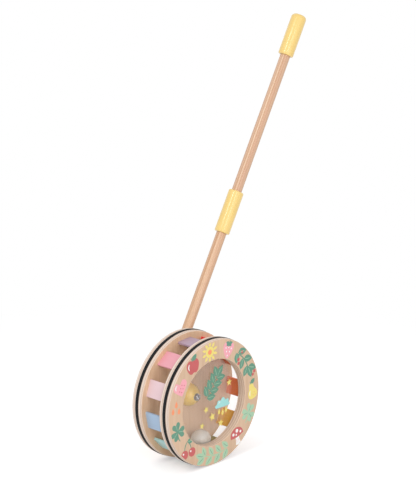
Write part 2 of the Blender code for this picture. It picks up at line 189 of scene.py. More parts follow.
def node(tree, kind, inputs=None, stops=None, **settings):
    """Add a node, set it up, and link or fill the inputs that are named. An input is a value, a
    socket, or another node, which gives its first socket in use."""
    made = tree.nodes.new(kind)
    for setting, value in settings.items():
        setattr(made, setting, value)
    for socket, value in (inputs or {}).items():
        if isinstance(value, bpy.types.Node):
            value = next(output for output in value.outputs if output.enabled)
        if isinstance(value, bpy.types.NodeSocket):
            tree.links.new(value, made.inputs[socket])
        else:
            made.inputs[socket].default_value = value
    if stops:
        ramp = made.color_ramp
        while len(ramp.elements) < len(stops):
            ramp.elements.new(1.0)
        for element, (place, colour) in zip(ramp.elements, stops):
            element.position = place
            element.color = colour
    return made


def between(share, first, second):
    """Inputs for a mix of two colours, each an sRGB hex value or a node. They go by number,
    because a Mix node has several inputs of one name."""
    inputs = {0: share}
    for socket, colour in ((6, first), (7, second)):
        inputs[socket] = linear(colour) if isinstance(colour, str) else colour
    return inputs


def new_material(name):
    """An empty material, its tree, and the place on the piece, which its patterns read."""
    material = bpy.data.materials.new(name)
    material.use_nodes = True
    tree = material.node_tree
    tree.nodes.clear()
    return material, tree, node(tree, "ShaderNodeTexCoord").outputs["Object"]


def finished(material, shader):
    """The material, once its shader is joined to its output."""
    node(material.node_tree, "ShaderNodeOutputMaterial", {"Surface": shader})
    return material


def streaks(tree, place, width, length=None, along="Z", detail=2.0, distortion=0.0,
            contrast=None, strength=1.0):
    """Noise drawn out along one axis: grain streaks of a width and length in millimetres, or
    clouds where no length is given. contrast names the two values of the noise that become
    0 and strength."""
    stretch = [1.0, 1.0, 1.0]
    stretch["XYZ".index(along)] = width / (length or width)
    drawn = node(tree, "ShaderNodeMapping", {"Vector": place, "Scale": stretch})
    noise = node(tree, "ShaderNodeTexNoise", {
        "Vector": drawn, "Scale": 1 / (width * MM), "Detail": detail, "Roughness": 0.55,
        "Distortion": distortion})
    if contrast is None:
        return noise
    low, high = contrast
    return node(tree, "ShaderNodeValToRGB", {"Fac": noise},
                stops=[(low, grey(0.0)), (high, grey(strength))])


def veneer_material(name, broad_shades, fine_shades):
    """Birch plywood, face veneer, sanded and matt lacquered: pale tan with soft upright
    streaks, some broad and some as fine as a pencil line, and short dark pores."""
    material, tree, place = new_material(name)
    broad = streaks(tree, place, 11.0, 130.0, distortion=0.6, contrast=(0.32, 0.68))
    fine = streaks(tree, place, 1.6, 60.0, detail=3.0, distortion=0.3, contrast=(0.35, 0.70))
    pores = streaks(tree, place, 0.35, 6.0, detail=1.0, contrast=(0.63, 0.74), strength=0.10)
    tone = node(tree, "ShaderNodeMix", between(broad, *broad_shades), data_type="RGBA")
    lines = node(tree, "ShaderNodeMix", between(fine, *fine_shades), data_type="RGBA")
    wood = node(tree, "ShaderNodeMix", between(0.35, tone, lines), data_type="RGBA")
    colour = node(tree, "ShaderNodeMix", between(pores, wood, "A67C58"), data_type="RGBA")
    bump = node(tree, "ShaderNodeBump", {"Height": fine, "Strength": 0.08, "Distance": 0.1 * MM})
    return finished(material, node(tree, "ShaderNodeBsdfPrincipled", {
        "Base Color": colour, "Roughness": 0.48, "IOR": 1.48, "Normal": bump}))


def ply_edge_material(name, glue, pale_shades, dark_shades):
    """Birch plywood, sawn and sanded edge: pale and darker plies in turn, with thin brown glue
    lines. Real plies of 1.2 mm are too fine to show, so these are drawn 1.67 mm thick, or
    3.333 mm for a pale and a dark one."""
    material, tree, place = new_material(name)
    across = node(tree, "ShaderNodeSeparateXYZ", {"Vector": place}).outputs["Y"]
    waver = streaks(tree, place, 9.0, detail=1.0)
    depth = node(tree, "ShaderNodeMath", {0: waver, 1: 0.35 * MM, 2: across},
                 operation="MULTIPLY_ADD")
    pairs = node(tree, "ShaderNodeMath", {0: depth, 1: 3.333 * MM}, operation="DIVIDE")
    part_of_pair = node(tree, "ShaderNodeMath", {0: pairs}, operation="FRACT")
    plies = node(tree, "ShaderNodeValToRGB", {"Fac": part_of_pair}, stops=[
        (0.00, linear(glue)), (0.06, linear(pale_shades[0])), (0.46, linear(pale_shades[1])),
        (0.51, linear(glue)), (0.57, linear(dark_shades[0])), (0.95, linear(dark_shades[1]))])
    fibres = streaks(tree, place, 0.8, 1.6, along="X", contrast=(0.35, 0.75))
    specks = node(tree, "ShaderNodeMix", between(fibres, "FFF4E2", "B08E70"), data_type="RGBA")
    colour = node(tree, "ShaderNodeMix", between(0.12, plies, specks), data_type="RGBA")
    bump = node(tree, "ShaderNodeBump", {
        "Height": fibres, "Strength": 0.15, "Distance": 0.1 * MM})
    return finished(material, node(tree, "ShaderNodeBsdfPrincipled", {
        "Base Color": colour, "Roughness": 0.6, "IOR": 1.45, "Normal": bump}))


def beech_material(name, tones, lines, fleck):
    """Steamed beech dowel, sanded and sealed: warm pinkish tan, with straight fine grain along
    the stick, paler and darker lines side by side, and a narrow sheen. The pattern is shifted
    to where its lines fall most like the real stick's."""
    material, tree, place = new_material(name)
    upright = node(tree, "ShaderNodeMapping", {
        "Vector": place, "Location": (0.007, 0.052, 0.0),
        "Rotation": (0.0, -math.radians(LEAN_DEGREES), 0.0)}).outputs["Vector"]
    grain = streaks(tree, upright, 1.9, 300.0, contrast=(0.38, 0.62))
    tone = streaks(tree, upright, 5.0, 400.0, detail=1.0, contrast=(0.36, 0.64))
    flecks = streaks(tree, upright, 0.7, 9.0, detail=1.0, contrast=(0.62, 0.74), strength=0.10)
    broad = node(tree, "ShaderNodeMix", between(tone, *tones), data_type="RGBA")
    fine = node(tree, "ShaderNodeMix", between(grain, *lines), data_type="RGBA")
    wood = node(tree, "ShaderNodeMix", between(0.5, broad, fine), data_type="RGBA")
    colour = node(tree, "ShaderNodeMix", between(flecks, wood, fleck), data_type="RGBA")
    return finished(material, node(tree, "ShaderNodeBsdfPrincipled", {
        "Base Color": colour, "Roughness": 0.5, "IOR": 1.48, "Coat Weight": 0.4,
        "Coat Roughness": 0.2, "Coat IOR": 1.5}))


def lacquer_material(name, *shades):
    """Turned beech under sprayed lacquer: even colour under a clear, glossy skin, with the
    faintest clouds where the wood below takes the colour."""
    material, tree, place = new_material(name)
    cloud = streaks(tree, place, 14.0, 40.0, detail=1.0, contrast=(0.30, 0.70))
    colour = node(tree, "ShaderNodeMix", between(cloud, *shades), data_type="RGBA")
    return finished(material, node(tree, "ShaderNodeBsdfPrincipled", {
        "Base Color": colour, "Roughness": 0.5, "IOR": 1.5, "Coat Weight": 1.0,
        "Coat Roughness": 0.2, "Coat IOR": 1.5}))


def slat_material(name, *shades):
    """Thin hardwood slat under satin paint: flat colour that lets a little grain through."""
    material, tree, place = new_material(name)
    grain = streaks(tree, place, 1.2, 30.0, along="Y", contrast=(0.35, 0.72))
    cloud = streaks(tree, place, 9.0, 15.0, along="Y", detail=1.0, contrast=(0.30, 0.70),
                    strength=0.35)
    thin = node(tree, "ShaderNodeMath", {0: grain, 1: cloud}, operation="MULTIPLY")
    colour = node(tree, "ShaderNodeMix", between(thin, *shades), data_type="RGBA")
    bump = node(tree, "ShaderNodeBump", {"Height": grain, "Strength": 0.08, "Distance": 0.1 * MM})
    return finished(material, node(tree, "ShaderNodeBsdfPrincipled", {
        "Base Color": colour, "Roughness": 0.42, "IOR": 1.48, "Normal": bump}))


def ink_material(name, *shades):
    """Screen-printed ink on lacquered wood: opaque and satin, a little thinner where the
    grain below stands up."""
    material, tree, place = new_material(name)
    grain = streaks(tree, place, 1.6, 40.0, contrast=(0.40, 0.75), strength=0.30)
    colour = node(tree, "ShaderNodeMix", between(grain, *shades), data_type="RGBA")
    return finished(material, node(tree, "ShaderNodeBsdfPrincipled", {
        "Base Color": colour, "Roughness": 0.45, "IOR": 1.48}))


def rubber_material():
    """Black rubber band, moulded: matt, with a fine tooth that softens its shine."""
    material, tree, place = new_material("moulded_black_rubber")
    tooth = streaks(tree, place, 0.7)
    wear = streaks(tree, place, 6.0, contrast=(0.35, 0.70))
    colour = node(tree, "ShaderNodeMix", between(wear, "101113", "17181A"), data_type="RGBA")
    bump = node(tree, "ShaderNodeBump", {"Height": tooth, "Strength": 0.25, "Distance": 0.1 * MM})
    return finished(material, node(tree, "ShaderNodeBsdfPrincipled", {
        "Base Color": colour, "Roughness": 0.72, "IOR": 1.5, "Specular IOR Level": 0.25,
        "Normal": bump}))


def steel_material():
    """Bright plated steel, turned: mirror-like, a little duller in soft clouds."""
    material, tree, place = new_material("bright_plated_steel")
    rough = node(tree, "ShaderNodeMapRange", {
        "Value": streaks(tree, place, 3.0), "To Min": 0.14, "To Max": 0.20})
    return finished(material, node(tree, "ShaderNodeBsdfPrincipled", {
        "Base Color": linear("ADADB0"), "Metallic": 1.0, "Roughness": rough}))


def nylon_material():
    """Natural nylon washer, moulded: milky off-white, slightly waxy."""
    material, tree, place = new_material("moulded_nylon")
    cloud = streaks(tree, place, 4.0)
    colour = node(tree, "ShaderNodeMix", between(cloud, "EFEDE6", "E2DFD5"), data_type="RGBA")
    return finished(material, node(tree, "ShaderNodeBsdfPrincipled", {
        "Base Color": colour, "Roughness": 0.4, "IOR": 1.53}))


def acrylic_material():
    """Clear cast acrylic sheet, polished: a faint grey cast and a few soft smears. Rays from
    the lamps pass straight through it, so that the inside of the drum is lit."""
    material, tree, place = new_material("clear_acrylic_sheet")
    rough = node(tree, "ShaderNodeMapRange", {
        "Value": streaks(tree, place, 14.0, 30.0), "To Min": 0.0, "To Max": 0.03})
    sheet = node(tree, "ShaderNodeBsdfPrincipled", {
        "Base Color": linear("FBF9F8"), "Roughness": rough, "IOR": 1.49,
        "Transmission Weight": 1.0, "Specular IOR Level": 0.35})
    lit = node(tree, "ShaderNodeBsdfTransparent", {"Color": linear("FCFBFA")})
    lamp_ray = node(tree, "ShaderNodeLightPath").outputs["Is Shadow Ray"]
    return finished(material, node(tree, "ShaderNodeMixShader", {0: lamp_ray, 1: sheet, 2: lit}))


VENEER = veneer_material("birch_plywood_face", ("DEBEA1", "D3B192"), ("E6C8AD", "C8A180"))
# Painted light: the rear disc's veneer is drawn paler than the ring's, to make up for the shade
# inside the drum.
VENEER_WITH_PAINTED_LIGHT = veneer_material("birch_plywood_face_with_painted_light", ("E7C5A4", "DCB894"),
                              ("EFCEAF", "D2A781"))
PLY_EDGE = ply_edge_material("birch_plywood_edge", "B39684", ("F2E1D5", "EDDCCF"),
                             ("DBC0AF", "D8BCAB"))
HOLE_WALL = ply_edge_material("warm_birch_plywood_edge", "B3917B", ("F2DAC6", "EDD5C0"),
                              ("DBBAA3", "D8B69F"))
BEECH = beech_material("steamed_beech_dowel", ("D5A484", "D9B08C"), ("E7C8AD", "BE8F6C"),
                       "A8714C")
WARM_BEECH = beech_material("warm_steamed_beech_dowel", ("D5A37F", "D9AF87"),
                            ("E7C6A7", "BE8E68"), "A87049")
YELLOW = lacquer_material("yellow_lacquered_beech", "F4D17B", "F1CD75")
# Painted light: the dome's yellow is drawn brighter and deeper than the grip's, to make up for the
# shade inside the drum and behind the sheet.
YELLOW_WITH_PAINTED_LIGHT = lacquer_material("yellow_lacquered_beech_with_painted_light", "FCD25C", "F7CC54")
BALL_PAINT = lacquer_material("off_white_lacquered_beech", "E1DCD2", "D8D2C7")
RUBBER = rubber_material()
STEEL = steel_material()
NYLON = nylon_material()
ACRYLIC = acrylic_material()

# Round the drum from the top, towards the left as the window is seen
SLAT_PAINTS = (
    ("purple", "B8A0B3", "AB92A6"),
    ("pink", "EDA8B4", "E597A5"),
    ("pale_pink", "E9CDD2", "DFC0C6"),
    ("blue", "AAC3DE", "9DB7D3"),
    ("mint", "B6DFDE", "A9D3D2"),
    ("green", "87AC88", "7BA07D"),
    ("olive", "A3A06C", "96935F"),
    ("ochre", "FFC74C", "F5BC42"),
    ("orange", "FF823D", "F5752F"),
    ("deep_orange", "E86A34", "DB5D2A"),
    ("red", "EB3A3B", "DE2F31"),
)
# Each ink of the print: the slot that it takes its finish from, and its material
INKS = {
    "mint": ("paint_mint", ink_material("mint_ink", "ADD0B0", "A5C9A9")),
    "dark_green": ("paint_green", ink_material("dark_green_ink", "659881", "5F9079")),
    "pink": ("paint_pink", ink_material("pink_ink", "F9ADB9", "F3A5B1")),
    "yellow": ("yellow_lacquer", ink_material("yellow_ink", "F4E07C", "EED973")),
    "red": ("paint_red", ink_material("red_ink", "CC6262", "C55B5B")),
    "orange": ("paint_orange", ink_material("orange_ink", "FB9C70", "F49468")),
    "white": ("off_white_paint", ink_material("white_ink", "FBF9F6", "F3F0EC")),
    "sky": ("paint_blue", ink_material("sky_blue_ink", "A8E6E4", "9EDDDB")),
}


def take(*pieces):
    """Select these pieces and no others, and work on the first."""
    bpy.ops.object.select_all(action="DESELECT")
    for piece in pieces:
        piece.select_set(True)
    bpy.context.view_layer.objects.active = pieces[0]


def rename(piece, name):
    """Name a piece and its mesh alike."""
    piece.name = name
    piece.data.name = name
    return piece


def copied(piece, name):
    """A copy of a piece, with a mesh of its own."""
    copy = piece.copy()
    copy.data = piece.data.copy()
    bpy.context.collection.objects.link(copy)
    return rename(copy, name)


def apply_place(piece):
    """Write a piece's place, turn and size into its mesh."""
    take(piece)
    bpy.ops.object.transform_apply(location=True, rotation=True, scale=True)


def onto_axle(piece):
    """Lay a turned piece along the axle: its height becomes the distance towards the front."""
    piece.rotation_euler = (math.radians(90), 0.0, 0.0)
    piece.location = (0.0, 0.0, AXLE_HEIGHT * MM)
    apply_place(piece)


def onto_stick(piece):
    """Lean a turned piece along the stick."""
    piece.rotation_euler = (0.0, math.radians(LEAN_DEGREES), 0.0)
    piece.location = (0.0, STICK_SIDE * MM, AXLE_HEIGHT * MM)
    apply_place(piece)


def from_axle(place):
    """How far a place lies from the axle's line."""
    return math.hypot(place.x, place.z - AXLE_HEIGHT * MM)


def dress(piece, *materials):
    """Give a piece its finish all over, or the finishes that its faces choose from."""
    piece.data.materials.clear()
    for material in materials:
        piece.data.materials.append(material)


def smooth(piece, degrees=SMOOTH_DEGREES):
    """Shade a piece smooth, with its real edges kept crisp."""
    take(piece)
    bpy.ops.object.shade_smooth_by_angle(angle=math.radians(degrees))


def hand_over(piece, body, slot, *nodes):
    """Tie a finished piece to its body, and hide the solids that it stands for. slot is not used."""
    if nodes:
        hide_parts(*nodes)
    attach(piece, body)


def complete(piece, material, body, slot, node_name, degrees=SMOOTH_DEGREES):
    """Give a piece one finish, smooth it and hand it over."""
    dress(piece, material)
    smooth(piece, degrees)
    hand_over(piece, body, slot, node_name)


def pick(piece, kind, test):
    """In edit mode, select the vertices, edges or faces that pass a test, and no others."""
    bpy.ops.mesh.select_mode(type=kind)
    bpy.ops.mesh.select_all(action="DESELECT")
    bpy.ops.object.mode_set(mode="OBJECT")
    parts = {"VERT": piece.data.vertices, "EDGE": piece.data.edges, "FACE": piece.data.polygons}
    for part in parts[kind]:
        part.select = test(part)
    bpy.ops.object.mode_set(mode="EDIT")


def turned(name, corners, rounds=(), closed=True, steps=WHEEL_STEPS):
    """Turn a piece on the lathe round the Z axis.

    A single vertex is extruded from corner to corner, each (radius, height) in millimetres;
    rounds gives (corner number, radius) for each corner that is rounded over; and the outline
    is spun once round."""
    bpy.ops.object.select_all(action="DESELECT")
    bpy.ops.mesh.primitive_plane_add(size=1.0, location=(0.0, 0.0, 0.0))
    piece = rename(bpy.context.object, name)
    places = [Vector((radius * MM, 0.0, height * MM)) for radius, height in corners]
    bpy.ops.object.mode_set(mode="EDIT")
    bpy.ops.mesh.select_mode(type="VERT")
    bpy.ops.mesh.select_all(action="SELECT")
    bpy.ops.mesh.merge(type="CENTER")
    bpy.ops.transform.translate(value=places[0])
    for low, high in zip(places, places[1:]):
        bpy.ops.mesh.extrude_vertices_move(TRANSFORM_OT_translate={"value": high - low})
    if closed:
        ends = (places[0], places[-1])
        pick(piece, "VERT",
             lambda vert: min((vert.co - end).length for end in ends) < SAME_PLACE)
        bpy.ops.mesh.edge_face_add()
    for corner, radius in rounds:
        pick(piece, "VERT", lambda vert: (vert.co - places[corner]).length < SAME_PLACE)
        bpy.ops.mesh.bevel(offset=radius * MM, segments=ROUND_STEPS, affect="VERTICES")
    bpy.ops.mesh.select_all(action="SELECT")
    bpy.ops.mesh.spin(steps=steps, angle=2 * math.pi, center=(0.0, 0.0, 0.0),
                      axis=(0.0, 0.0, 1.0))
    bpy.ops.mesh.select_all(action="SELECT")
    bpy.ops.mesh.remove_doubles(threshold=SAME_PLACE)
    bpy.ops.mesh.normals_make_consistent(inside=False)
    bpy.ops.object.mode_set(mode="OBJECT")
    return piece


def tube(name, inner, outer, low, high, edge_round=0.0, steps=WHEEL_STEPS):
    """Turn a tube or washer, or a rod where the inner radius is 0, with rounded outer edges."""
    rounds = ((1, edge_round), (2, edge_round)) if edge_round else ()
    return turned(name, [(inner, low), (outer, low), (outer, high), (inner, high)], rounds,
                  closed=inner > 0, steps=steps)


def groove(middle):
    """Corners of the groove in a wheel's rim, from its back to its front."""
    back = middle - GROOVE_HALF_WIDTH
    front = middle + GROOVE_HALF_WIDTH
    return [(WHEEL_RADIUS, back), (GROOVE_FLOOR, back), (GROOVE_FLOOR, front),
            (WHEEL_RADIUS, front)]


def show_plies(piece, veneer):
    """Give the flat sides of a wheel the face veneer, its rim the sawn edge, and the wall of its
    hole the same edge, a little warmer."""
    dress(piece, veneer, PLY_EDGE, HOLE_WALL)
    for face in piece.data.polygons:
        if abs(face.normal.y) > FLAT_NORMAL:
            face.material_index = 0
        else:
            face.material_index = 1 if from_axle(face.center) > REBATE_RADIUS * MM else 2


def make_wheels():
    """Front ring and rear disc, turned from plywood, each with a groove for its band."""
    ring = turned("ring_wheel", [
        (HOLE_RADIUS, REBATE_DEPTH), (REBATE_RADIUS, REBATE_DEPTH), (REBATE_RADIUS, INNER_FACE),
        (WHEEL_RADIUS, INNER_FACE), *groove(GROOVE_MIDDLE), (WHEEL_RADIUS, PRINTED_FACE),
        (HOLE_RADIUS, PRINTED_FACE)],
        rounds=((3, WHEEL_EDGE_ROUND), (8, WHEEL_EDGE_ROUND), (9, HOLE_EDGE_ROUND),
                (4, GROOVE_EDGE_ROUND), (7, GROOVE_EDGE_ROUND)))
    disc = turned("disc_wheel", [
        (AXLE_BORE, -OUTER_FACE), (WHEEL_RADIUS, -OUTER_FACE), *groove(-GROOVE_MIDDLE),
        (WHEEL_RADIUS, -INNER_FACE), (AXLE_BORE, -INNER_FACE)],
        rounds=((1, WHEEL_EDGE_ROUND), (6, WHEEL_EDGE_ROUND), (2, GROOVE_EDGE_ROUND),
                (5, GROOVE_EDGE_ROUND)))
    # The rear disc takes the veneer with painted light, drawn paler for the shade inside the drum.
    for wheel, veneer, node_name in ((ring, VENEER, "front_ring"),
                                     (disc, VENEER_WITH_PAINTED_LIGHT, "rear_disc")):
        onto_axle(wheel)
        show_plies(wheel, veneer)
        smooth(wheel)
        hand_over(wheel, "drum", "plywood", node_name)


def make_bands():
    """Two rubber bands, moulded in one tool: the second is a copy on the other wheel."""
    front = tube("ring_band", BAND_INNER, BAND_OUTER, -BAND_HALF_WIDTH, BAND_HALF_WIDTH,
                 BAND_EDGE_ROUND)
    rear = copied(front, "disc_band")
    for band, side, node_name in ((front, -1, "front_tyre"), (rear, 1, "rear_tyre")):
        onto_axle(band)
        band.location = (0.0, side * GROOVE_MIDDLE * MM, 0.0)
        apply_place(band)
        complete(band, RUBBER, "drum", "rubber_band", node_name)


def make_slats():
    """One slat with rounded edges, copied eleven times round the drum."""
    bpy.ops.object.select_all(action="DESELECT")
    bpy.ops.mesh.primitive_cube_add(size=1.0, location=(0.0, 0.0, 0.0))
    pattern = rename(bpy.context.object, "slat_pattern")
    pattern.location = ((SLAT_OUTER + SLAT_INNER) / 2 * MM, 0.0, 0.0)
    pattern.scale = ((SLAT_OUTER - SLAT_INNER) * MM, 2 * SLAT_REACH * MM, SLAT_WIDTH * MM)
    apply_place(pattern)
    bpy.ops.object.mode_set(mode="EDIT")
    bpy.ops.mesh.select_all(action="SELECT")
    bpy.ops.mesh.bevel(offset=SLAT_EDGE_ROUND * MM, segments=4, affect="EDGES")
    bpy.ops.object.mode_set(mode="OBJECT")
    for number, (colour_name, *shades) in enumerate(SLAT_PAINTS):
        slat = copied(pattern, "painted_slat_" + colour_name)
        degrees = FIRST_SLAT_DEGREES + number * 360 / len(SLAT_PAINTS)
        slat.rotation_euler = (0.0, -math.radians(degrees), 0.0)
        slat.location = (0.0, 0.0, AXLE_HEIGHT * MM)
        apply_place(slat)
        complete(slat, slat_material(colour_name + "_painted_slat", *shades), "drum",
                 "paint_" + colour_name, "slat_" + colour_name)
    bpy.data.objects.remove(pattern)


def make_dome():
    """Yellow half ball on the rear wheel, with a small flat for the nut's washer."""
    last = math.acos(DOME_SEAT_RADIUS / DOME_RADIUS)
    corners = [(AXLE_BORE, DOME_BASE)]
    for step in range(DOME_STEPS + 1):
        turn = last * step / DOME_STEPS
        rise = (DOME_SEAT - DOME_BASE) * math.sin(turn) / math.sin(last)
        corners.append((DOME_RADIUS * math.cos(turn), DOME_BASE + rise))
    corners.append((AXLE_BORE, DOME_SEAT))
    dome = turned("yellow_half_ball", corners, rounds=((1, DOME_EDGE_ROUND),))
    onto_axle(dome)
    # The dome's yellow carries painted light, brighter than the grip's, for the shade inside the
    # drum.
    complete(dome, YELLOW_WITH_PAINTED_LIGHT, "drum", "yellow_lacquer", "hub_dome")


def make_nut():
    """Washer and domed nut on the axle's front end: six sides, and a turned crown on them."""
    washer = tube("nut_seat_washer", *NUT_WASHER, SMALL_STEPS)
    onto_axle(washer)
    complete(washer, STEEL, "handle", "plated_steel", "nut_washer")

    bpy.ops.object.select_all(action="DESELECT")
    corner_radius = NUT_ACROSS_FLATS / math.sqrt(3) - NUT_CORNER_TRIM
    bpy.ops.mesh.primitive_cylinder_add(vertices=6, radius=corner_radius * MM,
                                        depth=NUT_HEIGHT * MM,
                                        location=(0.0, 0.0, NUT_MIDDLE * MM))
    nut = rename(bpy.context.object, "domed_nut")
    apply_place(nut)
    bpy.ops.object.mode_set(mode="EDIT")
    heights = [vert.co.z for vert in nut.data.vertices]
    pick(nut, "EDGE", lambda edge: abs(heights[edge.vertices[0]] - heights[edge.vertices[1]])
         > NUT_HEIGHT / 2 * MM)
    bpy.ops.mesh.bevel(offset=NUT_EDGE_ROUND * MM, segments=3, affect="EDGES")
    pick(nut, "FACE", lambda face: face.normal.z > FLAT_NORMAL)
    bpy.ops.mesh.inset(thickness=NUT_INSET * MM)
    bpy.ops.object.mode_set(mode="OBJECT")
    crown = turned("nut_crown", NUT_CROWN, closed=False, steps=SMALL_STEPS)
    take(nut, crown)
    bpy.ops.object.join()
    onto_axle(nut)
    complete(nut, STEEL, "handle", "plated_steel", "cap_nut", NUT_SMOOTH_DEGREES)


def make_ball():
    """Loose painted ball: a cube, cut finely and blown up to a ball."""
    low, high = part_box("rattle_ball")
    radius = (high.y - low.y) / 2
    bpy.ops.object.select_all(action="DESELECT")
    bpy.ops.mesh.primitive_cube_add(size=2 * radius, location=(0.0, 0.0, 0.0))
    ball = rename(bpy.context.object, "rolling_ball")
    bpy.ops.object.mode_set(mode="EDIT")
    bpy.ops.mesh.select_all(action="SELECT")
    bpy.ops.mesh.subdivide(number_cuts=BALL_CUTS)
    bpy.ops.object.mode_set(mode="OBJECT")
    bpy.ops.object.modifier_add(type="CAST")
    cast = ball.modifiers[-1]
    cast.factor = 1.0
    cast.radius = 0.0
    cast.size = radius
    cast.use_radius_as_size = False
    bpy.ops.object.modifier_apply(modifier=cast.name)
    ball.location = (low + high) / 2
    apply_place(ball)
    complete(ball, BALL_PAINT, "ball", "off_white_paint", "rattle_ball", BALL_SMOOTH_DEGREES)


def make_stick():
    """Two dowels, the sleeve that joins them and the grip, all turned along the stick."""
    lower = tube("lower_dowel", 0.0, STICK_RADIUS, *LOWER_STICK, STICK_CHAMFER, ROD_STEPS)
    upper = tube("upper_dowel", 0.0, STICK_RADIUS, *UPPER_STICK, STICK_CHAMFER, ROD_STEPS)
    sleeve = tube("yellow_sleeve", SLEEVE_BORE, SLEEVE_RADIUS, *SLEEVE, SLEEVE_EDGE_ROUND,
                  LACQUER_STEPS)
    low, high = GRIP
    grip = turned("yellow_grip", [
        (0.0, low + GRIP_BORE_DEPTH), (SLEEVE_BORE, low + GRIP_BORE_DEPTH), (SLEEVE_BORE, low),
        (GRIP_RADIUS, low), (GRIP_RADIUS, high - GRIP_CROWN), (0.0, high)],
        rounds=((3, SLEEVE_EDGE_ROUND), (4, GRIP_TOP_ROUND)), closed=False, steps=LACQUER_STEPS)
    for piece, material, slot, node_name in (
            (lower, WARM_BEECH, "beech", "lower_stick"),
            (upper, BEECH, "beech", "upper_stick"),
            (sleeve, YELLOW, "yellow_lacquer", "sleeve"),
            (grip, YELLOW, "yellow_lacquer", "grip")):
        onto_stick(piece)
        complete(piece, material, "handle", slot, node_name)


def make_hub_back():
    """Ball behind the rear wheel, the washer before it and the axle with its round head."""
    flat = math.sqrt(HUB_RADIUS ** 2 - HUB_FLAT_RADIUS ** 2)
    start = math.asin(HUB_FLAT_RADIUS / HUB_RADIUS)
    corners = [(AXLE_BORE, -STICK_SIDE - flat)]
    for step in range(HUB_STEPS + 1):
        turn = start + (math.pi - 2 * start) * step / HUB_STEPS
        corners.append((HUB_RADIUS * math.sin(turn), -STICK_SIDE - HUB_RADIUS * math.cos(turn)))
    corners.append((AXLE_BORE, -STICK_SIDE + flat))
    hub = turned("hub_ball", corners, steps=LACQUER_STEPS)
    washer = tube("hub_seat_washer", *HUB_WASHER, LACQUER_STEPS)
    low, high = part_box("axle_bolt")
    back = high.y / MM
    front = low.y / MM
    bolt = turned("axle_pin", [*((radius, rise - back) for radius, rise in AXLE_HEAD),
                               (AXLE_RADIUS, -front), (0.0, -front)],
                  closed=False, steps=SMALL_STEPS)
    for piece, material, slot, node_name in (
            (hub, YELLOW, "yellow_lacquer", "stick_hub"),
            (washer, NYLON, "nylon", "hub_washer"),
            (bolt, STEEL, "plated_steel", "axle_bolt")):
        onto_axle(piece)
        complete(piece, material, "handle", slot, node_name)


def clear_window():
    """The window keeps its solid, a flat round sheet, and gets the clear acrylic."""
    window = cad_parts["window"]
    window.material_slots[0].material = ACRYLIC


def filled(outline, thickness):
    """Fill one outline and give it a thickness: a circle's curve is cut to as many points as
    the outline has, and the points are moved onto it."""
    bpy.ops.object.select_all(action="DESELECT")
    bpy.ops.curve.primitive_bezier_circle_add(radius=MM, location=(0.0, 0.0, 0.0))
    shape = bpy.context.object
    bpy.ops.object.mode_set(mode="EDIT")
    while len(shape.data.splines[0].bezier_points) < len(outline):
        bpy.ops.curve.select_all(action="DESELECT")
        for point in shape.data.splines[0].bezier_points[:2]:
            point.select_control_point = True
        bpy.ops.curve.subdivide(number_cuts=1)
    for point, corner in zip(shape.data.splines[0].bezier_points, outline):
        kind = "VECTOR" if len(corner) > 2 else "AUTO"
        point.handle_left_type = kind
        point.handle_right_type = kind
        point.co = (corner[0] * MM, corner[1] * MM, 0.0)
    bpy.ops.object.mode_set(mode="OBJECT")
    shape.data.dimensions = "2D"
    shape.data.fill_mode = "BOTH"
    shape.data.resolution_u = CURVE_STEPS
    shape.data.extrude = thickness / 2
    bpy.ops.object.convert(target="MESH")
    return bpy.context.object


def print_area(name, inner, outer, front):
    """A turned ring or disc that bounds a print: a motif is trimmed to what lies inside it."""
    area = tube(name, inner, outer, front - PRINT_AREA_MARGIN, front + PRINT_AREA_MARGIN)
    onto_axle(area)
    return area


def trim(motif, area):
    """Cut off what a motif has outside its area, as the edge of the wood cuts a real print."""
    bounds = [from_axle(vert.co) for vert in area.data.vertices]
    places = [from_axle(vert.co) for vert in motif.data.vertices]
    if max(places) < max(bounds) and (min(places) > min(bounds) or min(bounds) < MM):
        return
    take(motif)
    bpy.ops.object.modifier_add(type="BOOLEAN")
    inside = motif.modifiers[-1]
    inside.operation = "INTERSECT"
    inside.solver = "EXACT"
    inside.use_self = True
    inside.object = area
    bpy.ops.object.modifier_apply(modifier=inside.name)


def printed(name, ink, outlines, place, layer, area):
    """Print a motif: flat outlines in millimetres, filled, and laid on the wood or the window.

    Each outline is a list of (across, up) points, or (across, up, 1) where the line turns a
    sharp corner; place is (across, up, degrees, size, front) of the motif's own middle. Where
    outlines of one ink overlap, each lies a hair behind the last until they are made one."""
    across, up, degrees, size, front = place
    shapes = []
    for number, outline in enumerate(outlines):
        shape = filled(outline, INK_THICKNESS * MM / size)
        shape.location.z = -number * INK_STEP * MM / size
        shapes.append(shape)
    take(*shapes)
    if len(shapes) > 1:
        bpy.ops.object.join()
    motif = rename(bpy.context.object, name)
    bpy.ops.object.mode_set(mode="EDIT")
    bpy.ops.mesh.select_all(action="SELECT")
    bpy.ops.mesh.remove_doubles(threshold=SAME_PLACE / 10)
    bpy.ops.mesh.normals_make_consistent(inside=False)
    bpy.ops.object.mode_set(mode="OBJECT")
    motif.rotation_euler = (math.radians(90), math.radians(-degrees), 0.0)
    motif.scale = (size, size, size)
    depth = front + (layer - 0.5) * INK_THICKNESS
    motif.location = (across * MM, -depth * MM, (AXLE_HEIGHT + up) * MM)
    apply_place(motif)
    trim(motif, area)
    ink_slot, material = INKS[ink]
    dress(motif, material)
    hand_over(motif, "drum", ink_slot)


def dot(radius, across=0.0, up=0.0):
    """A round dot."""
    return [(across + radius * math.cos(math.radians(turn)),
             up + radius * math.sin(math.radians(turn))) for turn in range(0, 360, 60)]


def dots(radius, *places):
    """Round dots of one size."""
    return [dot(radius, *place) for place in places]


